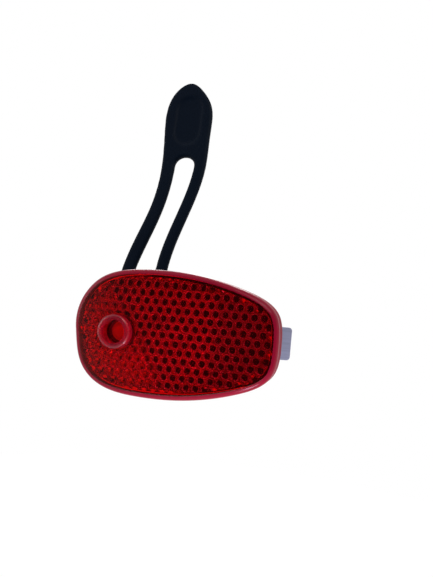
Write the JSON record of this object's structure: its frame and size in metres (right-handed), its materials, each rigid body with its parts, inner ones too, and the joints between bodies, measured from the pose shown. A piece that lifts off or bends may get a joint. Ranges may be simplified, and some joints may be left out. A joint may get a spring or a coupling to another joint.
{
  "type": "bicycle rear light",
  "caption": "Oval red rear light with moulded reflector lens, LED window, seat-post saddle, stretch strap with pull tab and a sprung back clip.",
  "frame": {"origin": "on the seat post's axis, at the middle of the saddle", "axes": "+X along the seat post and the light's long side, -Y the way the light shines, +Z towards the side the strap hangs on"},
  "size_m": [0.0652, 0.0416, 0.1077],
  "materials": {
    "lens": "clear red moulded plastic",
    "lens_seal": "soft black rubber",
    "housing": "fine matt black moulding",
    "saddle_pad": "ribbed soft rubber",
    "strap": "satin blue-black silicone",
    "strap_pin": "ground steel",
    "clip": "rolled spring steel",
    "clip_pin": "ground steel",
    "clip_spring": "spring wire",
    "button": "soft matt rubber",
    "switch_case": "black nylon",
    "switch_plunger": "natural nylon",
    "circuit_board": "white solder mask",
    "led": "clear red epoxy",
    "led_holder": "black nylon",
    "control_chip": "moulded epoxy",
    "resistor": "glazed ceramic",
    "capacitor": "fired ceramic",
    "upper_cell": "printed sleeve on steel",
    "lower_cell": "printed sleeve on steel",
    "positive_contact": "nickel-plated spring strip",
    "negative_contact": "nickel-plated spring strip",
    "cell_link": "nickel-plated spring strip",
    "board_screws": "zinc-plated steel"
  },
  "bodies": {
    "root": {"lens": "lens", "lens_seal": "lens_seal", "housing": "housing", "saddle_pad": "saddle_pad", "strap_pin": "strap_pin", "clip_pin": "clip_pin", "clip_spring": "clip_spring", "switch_case": "switch_case", "circuit_board": "circuit_board", "led": "led", "led_holder": "led_holder", "control_chip": "control_chip", "resistor": "resistor", "capacitor": "capacitor", "upper_cell": "upper_cell", "lower_cell": "lower_cell", "positive_contact": "positive_contact", "negative_contact": "negative_contact", "cell_link": "cell_link", "board_screws": "board_screws"},
    "strap": {"strap": "strap"},
    "clip": {"clip": "clip"},
    "button": {"button": "button"},
    "plunger": {"switch_plunger": "switch_plunger"}
  },
  "joints": [
    {"name": "strap_swing", "type": "hinge", "parent": "root", "child": "strap", "pos_m": [-0.0008, -0.01695, 0.0157], "axis": [1, 0, 0], "range_deg": [-78, 50]},
    {"name": "clip_hinge", "type": "hinge", "parent": "root", "child": "clip", "pos_m": [0.022, -0.0178, 0], "axis": [0, 0, 1], "range_deg": [0, 15], "stiffness_Nm_per_rad": 0.15, "springref_deg": -34.38},
    {"name": "button_press", "type": "slide", "parent": "root", "child": "button", "axis": [0, 0, 1], "range_m": [0, 0.00035], "stiffness_N_per_m": 1200, "springref_m": -0.0003},
    {"name": "plunger_press", "type": "slide", "parent": "root", "child": "plunger", "axis": [0, 0, 1], "range_m": [0, 0.00035]}
  ],
  "couplings": [
    {"joint": "plunger_press", "follows": "button_press", "ratio": 1}
  ]
}
